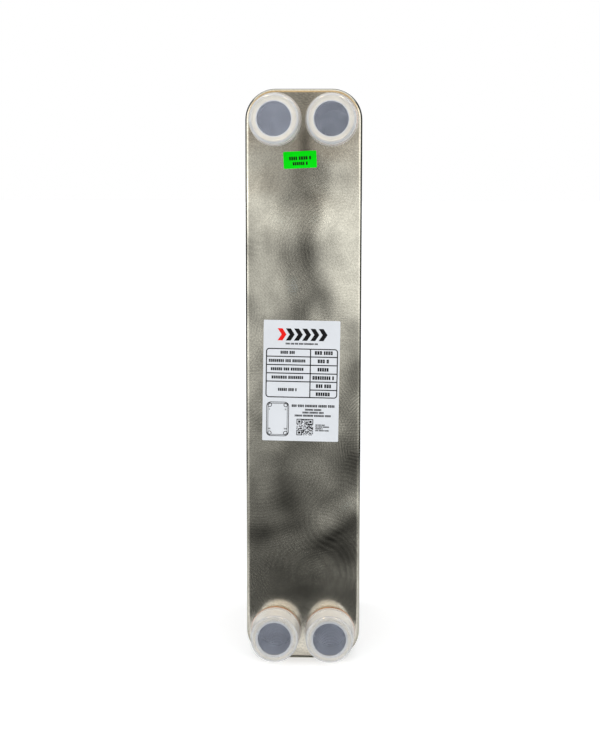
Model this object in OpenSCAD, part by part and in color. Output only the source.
// Brazed plate heat exchanger, standing on its lower edge.
// Z runs along the plates, Y through the stack (front face towards -Y), X across it.
// The origin is the bottom centre of the bounding box, protective caps included.
// "d" is a depth behind the front face, "u" a distance in front of it.

/* [Plate outline] */
// Width of the plates
plate_w = 104; // [90:1:130]
// Height of the plates
plate_h = 520; // [400:5:620]
// Distance between the ports across the plates
port_dx = 50; // [46:1:60]
// Distance between the ports along the plates
port_dz = 466; // [340:2:560]

/* [Stack] */
// Number of channel plates in each group
plates_per_group = 4; // [1:1:4]
// Distance from one channel plate to the next
plate_pitch = 2.4; // [2.3:0.05:3]
// Sheet thickness of the channel plates
channel_t = 0.4; // [0.3:0.05:0.4]
// Sheet thickness of the front cover
cover_t = 1.2; // [0.8:0.1:1.2]
// Thickness of the back cover
back_cover_t = 2; // [1:0.5:3]
// Thickness of the two flat end plates
end_plate_t = 1; // [0.6:0.1:1.2]
// Brazing gap between neighbouring pieces
braze_gap = 0.1; // [0.05:0.05:0.2]

/* [Plate skirts] */
// Angle between a skirt and the stack's axis
skirt_angle = 12; // [12:1:16]
// Depth of a channel plate's skirt
channel_skirt_h = 5.2; // [4.8:0.1:5.6]
// Depth of the front cover's skirt
cover_skirt_h = 4.5; // [4:0.1:4.8]
// How far the channel plates stay inside the front cover's outline
channel_inset = 0.2; // [0.2:0.1:1]
// Inner bend radius of the front cover
cover_bend_r = 1.8; // [1:0.1:2]
// Inner bend radius of the channel plates
channel_bend_r = 1.2; // [0.8:0.1:1.4]

/* [Herringbone pattern] */
// Distance from one herringbone rib to the next
rib_pitch = 54; // [40:2:80]
// Width of a rib
rib_w = 24; // [12:1:28]
// Angle between a rib's arms and the plate's width
rib_angle = 30; // [20:5:45]
// Distance from the centre line to a rib's ends
rib_reach = 42; // [30:1:44]

/* [Nozzles] */
// Radius of the bore through a nozzle
bore_r = 15; // [12:0.5:16]
// Height of a nozzle above the front face
nozzle_h = 27; // [24:0.5:32]
// Outer radius of the external pipe thread, G 1 1/4
thread_r = 20.955; // [20:0.005:21]
// Pitch of the thread
thread_pitch = 2.309; // [2:0.001:2.5]
// Depth of the thread
thread_depth = 1.479; // [1:0.001:1.6]
// Radius of the collar at a nozzle's foot
collar_r = 22.2; // [21.5:0.1:22.6]
// Height of that collar
collar_h = 4.2; // [3:0.1:4.2]
// Radius of the spigot that sits in the front cover's hole
spigot_r = 18; // [17:0.1:19]

/* [Protective caps] */
// Outer radius of a cap's wall
cap_r = 21.8; // [21.7:0.1:22.4]
// Thickness of a cap's wall
cap_wall = 0.6; // [0.4:0.05:0.6]
// Thickness of a cap's closed end
cap_end_t = 1.4; // [1:0.1:2]
// Radius of the rounded edge of the closed end
cap_edge_r = 2.3; // [1.8:0.1:2.6]
// Depth of the shallow recess in the closed end
cap_recess = 0.35; // [0.1:0.05:0.6]
// Radius of the flange at a cap's open end
cap_flange_r = 23.5; // [23:0.1:24]
// Thickness of that flange
cap_flange_t = 2; // [1:0.1:2.5]

/* [Labels] */
// Width of the data label
label_w = 69; // [50:1:80]
// Height of the data label
label_h = 110; // [80:1:130]
// Width of the test sticker
sticker_w = 29.5; // [20:0.5:40]
// Height of the test sticker
sticker_h = 15; // [10:0.5:20]
// Thickness of both
label_t = 0.2; // [0.1:0.05:0.3]

/* [Hidden] */
GROUPS = 20;
$fn = 96;
steel = "#b3aea4";
plate_steel = "#a39d92";
copper = "#b87a4e";
milky = "#e3e6e8";

// The corner arcs are concentric with the ports.
corner_r = (plate_w - port_dx) / 2;
corner_z = port_dz / 2;
mid_z = plate_h / 2;
plates = GROUPS * plates_per_group;
// Depths at which the layers begin, from front to back
port_ring_d = cover_t + braze_gap;
port_ring_t = 2.3;
front_end_d = port_ring_d + port_ring_t + braze_gap;
first_channel_d = front_end_d + end_plate_t + 2 * braze_gap;
rib_h = plate_pitch - channel_t - braze_gap;
back_end_d = first_channel_d + plates * plate_pitch;
back_cover_d = back_end_d + end_plate_t + braze_gap;
stack_depth = back_cover_d + back_cover_t;
cap_reach = nozzle_h + braze_gap + cap_end_t;
face_y = -(stack_depth - cap_reach) / 2;
// How far the flat plates, which lie inside the skirts, stay within the outline
front_end_inset = 1.7;
back_end_inset = 1.4;
back_cover_inset = 1.2;
// Ports inside the stack, the raised rims round them, and the space they keep from the ribs
inner_port_r = bore_r + 0.5;
port_rim_w = 3;
rib_clearance = 25;
port_ring_r = 21;
// How far a cutting shape runs past the faces it cuts
past = 1;
label_pos = [-1.9, 259.6];
label_turn = 0.9;
sticker_pos = [-3.1, 457.8];
sticker_turn = -2.7;

// Points on an arc around (x, y) from angle a to angle b
function arc(x, y, r, a, b, steps) =
    [for (i = [0 : steps]) let (w = a + (b - a) * i / steps) [x + r * cos(w), y + r * sin(w)]];

// Section of a pressed tray from a corner's centre outwards: x is the radius, y the depth.
// The skirt's outer edge ends at radius end_r and depth h.
function tray_section(t, h, bend_r, end_r, steps) =
    let (
        outer = bend_r + t,
        cx = end_r + ((outer - h) * sin(skirt_angle) - outer) / cos(skirt_angle)
    )
    concat(
        [[0, 0]],
        arc(cx, outer, outer, -90, -skirt_angle, steps),
        [[end_r, h], [end_r - t / cos(skirt_angle), h]],
        arc(cx, outer, bend_r, -skirt_angle, -90, steps),
        [[0, t]]
    );

// Turns a shape drawn with its third axis as height so that its height runs along the depth.
module lay() translate([0, face_y, mid_z]) rotate([-90, 0, 0]) children();

module at_corner(sx, sz) translate([sx * port_dx / 2, sz * corner_z, 0]) children();

module at_corners() for (sx = [-1, 1], sz = [-1, 1]) at_corner(sx, sz) children();

// Sweeps a section round the rounded rectangle whose corner centres are the ports.
module swept(t, h, bend_r, end_r, steps) {
    section = tray_section(t, h, bend_r, end_r, steps);
    translate([-port_dx / 2, -corner_z, 0]) cube([port_dx, port_dz, t]);
    for (corner = [[1, 1, 0], [-1, 1, 90], [-1, -1, 180], [1, -1, 270]])
        at_corner(corner[0], corner[1]) rotate(corner[2]) rotate_extrude(angle = 90) polygon(section);
    for (side = [0, 180]) {
        rotate(side) translate([port_dx / 2, corner_z, 0]) rotate([90, 0, 0])
            linear_extrude(port_dz) polygon(section);
        rotate(side) translate([-port_dx / 2, corner_z, 0]) rotate([90, 0, 90])
            linear_extrude(port_dx) polygon(section);
    }
}

module rounded_plate(r, t) {
    at_corners() cylinder(r = r, h = t);
    translate([-port_dx / 2 - r, -corner_z, 0]) cube([port_dx + 2 * r, port_dz, t]);
    translate([-port_dx / 2, -corner_z - r, 0]) cube([port_dx, port_dz + 2 * r, t]);
}

module tag(w, h, r) {
    for (x = [r - w / 2, w / 2 - r], y = [r - h / 2, h / 2 - r])
        translate([x, y, 0]) cylinder(r = r, h = label_t);
    translate([-w / 2, r - h / 2, 0]) cube([w, h - 2 * r, label_t]);
    translate([r - w / 2, -h / 2, 0]) cube([w - 2 * r, h, label_t]);
}

// One V of the herringbone: a band of width w across the plate with its point at y = 0
module chevron(w, reach) {
    rise = reach * tan(rib_angle);
    band = w / cos(rib_angle);
    right = [[0, 0], [reach, -rise], [reach, band - rise]];
    left = [[0, band], [-reach, band - rise], [-reach, -rise]];
    polygon(concat(right, left));
}

module ribs(w, reach) {
    field = 2 * (corner_z - inner_port_r - rib_clearance);
    count = floor(field / rib_pitch);
    middle = (reach * tan(rib_angle) - w) / 2;
    for (i = [0 : count - 1])
        translate([0, middle + (i - (count - 1) / 2) * rib_pitch, 0]) chevron(w, reach);
}

// A pressed channel plate. Every second plate is turned, so its ribs cross its neighbours' and its raised
// port rims close off the ports on the other side.
module channel_plate(index) {
    turned = index % 2 == 1;
    blind = index == plates - 1;
    port_side = turned ? 1 : -1;
    translate([0, 0, first_channel_d + index * plate_pitch]) difference() {
        union() {
            swept(channel_t, channel_skirt_h, channel_bend_r, corner_r - channel_inset, 1);
            rotate(turned ? 180 : 0) translate([0, 0, channel_t / 2])
                linear_extrude(rib_h + channel_t / 2) ribs(rib_w, rib_reach);
            if (!blind)
                for (sz = [-1, 1]) at_corner(port_side, sz) translate([0, 0, channel_t / 2])
                    cylinder(r = inner_port_r + port_rim_w, h = rib_h + channel_t / 2);
        }
        rotate(turned ? 180 : 0) translate([0, 0, -past])
            linear_extrude(rib_h + past) ribs(rib_w - 2 * channel_t, rib_reach - channel_t);
        if (!blind) at_corners() translate([0, 0, -past])
            cylinder(r = inner_port_r, h = plate_pitch + 2 * past);
    }
}

module channel_plates(group) {
    color(plate_steel) lay() for (i = [0 : plates_per_group - 1]) channel_plate(group * plates_per_group + i);
}

module front_cover_plate() {
    color(steel) lay() difference() {
        swept(cover_t, cover_skirt_h, cover_bend_r, corner_r, 8);
        at_corners() translate([0, 0, -past]) cylinder(r = spigot_r + braze_gap, h = cover_t + 2 * past);
    }
}

module front_end_plate() {
    color(plate_steel) lay() translate([0, 0, front_end_d]) difference() {
        rounded_plate(corner_r - front_end_inset, end_plate_t);
        at_corners() translate([0, 0, -past]) cylinder(r = inner_port_r, h = end_plate_t + 2 * past);
    }
}

module back_end_plate() {
    color(plate_steel) lay() translate([0, 0, back_end_d])
        rounded_plate(corner_r - back_end_inset, end_plate_t);
}

module back_cover_plate() {
    color(steel) lay() translate([0, 0, back_cover_d])
        rounded_plate(corner_r - back_cover_inset, back_cover_t);
}

// The thread is drawn as rings of the right pitch and depth.
module nozzle(sx, sz) {
    chamfer = 0.5;
    undercut = 2.2;
    plain_tip = 2;
    root_r = thread_r - thread_depth;
    thread_u = collar_h + undercut;
    turns = floor((nozzle_h - plain_tip - thread_u) / thread_pitch);
    crests = [for (i = [0 : turns - 1], p = [[0, 0], [0.35, 1], [0.65, 1], [1, 0]])
        if (p[0] > 0) [root_r + p[1] * thread_depth, thread_u + (i + p[0]) * thread_pitch]];
    section = concat(
        [[bore_r, -cover_t], [spigot_r, -cover_t], [spigot_r, 0], [collar_r, 0]],
        [[collar_r, collar_h - chamfer], [collar_r - chamfer, collar_h]],
        [[root_r, collar_h], [root_r, thread_u]],
        crests,
        [[root_r, nozzle_h - chamfer], [root_r - chamfer, nozzle_h]],
        [[bore_r + chamfer, nozzle_h], [bore_r, nozzle_h - chamfer]]
    );
    color(steel) lay() at_corner(sx, -sz) mirror([0, 0, 1]) rotate_extrude() polygon(section);
}

// Fillet of brazing copper round the foot of a nozzle's collar
module braze_ring(sx, sz) {
    foot_r = collar_r + 0.05;
    leg = 0.5;
    height = 0.8;
    color(copper) lay() at_corner(sx, -sz) mirror([0, 0, 1]) rotate_extrude()
        polygon([[foot_r, 0], [foot_r + leg, 0], [foot_r + leg / 3, height / 3], [foot_r, height]]);
}

// Ring that seals and stiffens a port between the front cover and the first plates
module port_ring(sx, sz) {
    color(plate_steel) lay() at_corner(sx, -sz) translate([0, 0, port_ring_d]) difference() {
        cylinder(r = port_ring_r, h = port_ring_t);
        translate([0, 0, -past]) cylinder(r = inner_port_r, h = port_ring_t + 2 * past);
    }
}

// Push-on cap: a thin cup with a flanged mouth, a rounded lip round its recessed end and the mark of the
// moulding gate
module cap(sx, sz) {
    chamfer = 0.4;
    foot_u = collar_h + 0.2;
    flange_u = foot_u + cap_flange_t;
    wall_r = cap_r - cap_wall;
    lip_r = cap_r - cap_edge_r;
    edge_u = cap_reach - cap_edge_r;
    inner_u = cap_reach - cap_end_t;
    inner_edge_r = 0.9;
    floor_u = cap_reach - cap_recess;
    gate_r = 1.6;
    gate_u = floor_u + 0.2;
    outside = concat(
        [[0, foot_u], [cap_flange_r - chamfer, foot_u], [cap_flange_r, foot_u + chamfer]],
        [[cap_flange_r, flange_u - chamfer], [cap_flange_r - chamfer, flange_u], [cap_r, flange_u]],
        [[cap_r, edge_u], [lip_r, edge_u], [lip_r, floor_u]],
        [[gate_r + chamfer, floor_u], [gate_r, gate_u], [0, gate_u]]
    );
    inside = [
        [0, foot_u - past], [wall_r, foot_u - past], [wall_r, inner_u - inner_edge_r],
        [wall_r - inner_edge_r, inner_u - inner_edge_r], [wall_r - inner_edge_r, inner_u], [0, inner_u]
    ];
    color(milky) lay() at_corner(sx, -sz) mirror([0, 0, 1]) rotate_extrude() difference() {
        union() {
            polygon(outside);
            translate([lip_r, edge_u]) circle(r = cap_edge_r);
        }
        polygon(inside);
        translate([wall_r - inner_edge_r, inner_u - inner_edge_r]) circle(r = inner_edge_r);
    }
}

module on_face(pos, turn) {
    translate([pos[0], face_y, pos[1]]) rotate([0, turn, 0]) rotate([90, 0, 0]) children();
}

module data_label() {
    color("white") on_face(label_pos, label_turn) tag(label_w, label_h, 1);
}

module test_sticker() {
    color("#0cd927") on_face(sticker_pos, sticker_turn) tag(sticker_w, sticker_h, 1);
}

front_cover_plate();
front_end_plate();
back_end_plate();
back_cover_plate();
nozzle(-1, 1);  // nozzle_top_left
nozzle(1, 1);  // nozzle_top_right
nozzle(-1, -1);  // nozzle_bottom_left
nozzle(1, -1);  // nozzle_bottom_right
braze_ring(-1, 1);  // braze_ring_top_left
braze_ring(1, 1);  // braze_ring_top_right
braze_ring(-1, -1);  // braze_ring_bottom_left
braze_ring(1, -1);  // braze_ring_bottom_right
port_ring(-1, 1);  // port_ring_top_left
port_ring(1, 1);  // port_ring_top_right
port_ring(-1, -1);  // port_ring_bottom_left
port_ring(1, -1);  // port_ring_bottom_right
cap(-1, 1);  // cap_top_left
cap(1, 1);  // cap_top_right
cap(-1, -1);  // cap_bottom_left
cap(1, -1);  // cap_bottom_right
data_label();
test_sticker();
channel_plates(0);  // channel_plates_01
channel_plates(1);  // channel_plates_02
channel_plates(2);  // channel_plates_03
channel_plates(3);  // channel_plates_04
channel_plates(4);  // channel_plates_05
channel_plates(5);  // channel_plates_06
channel_plates(6);  // channel_plates_07
channel_plates(7);  // channel_plates_08
channel_plates(8);  // channel_plates_09
channel_plates(9);  // channel_plates_10
channel_plates(10);  // channel_plates_11
channel_plates(11);  // channel_plates_12
channel_plates(12);  // channel_plates_13
channel_plates(13);  // channel_plates_14
channel_plates(14);  // channel_plates_15
channel_plates(15);  // channel_plates_16
channel_plates(16);  // channel_plates_17
channel_plates(17);  // channel_plates_18
channel_plates(18);  // channel_plates_19
channel_plates(19);  // channel_plates_20
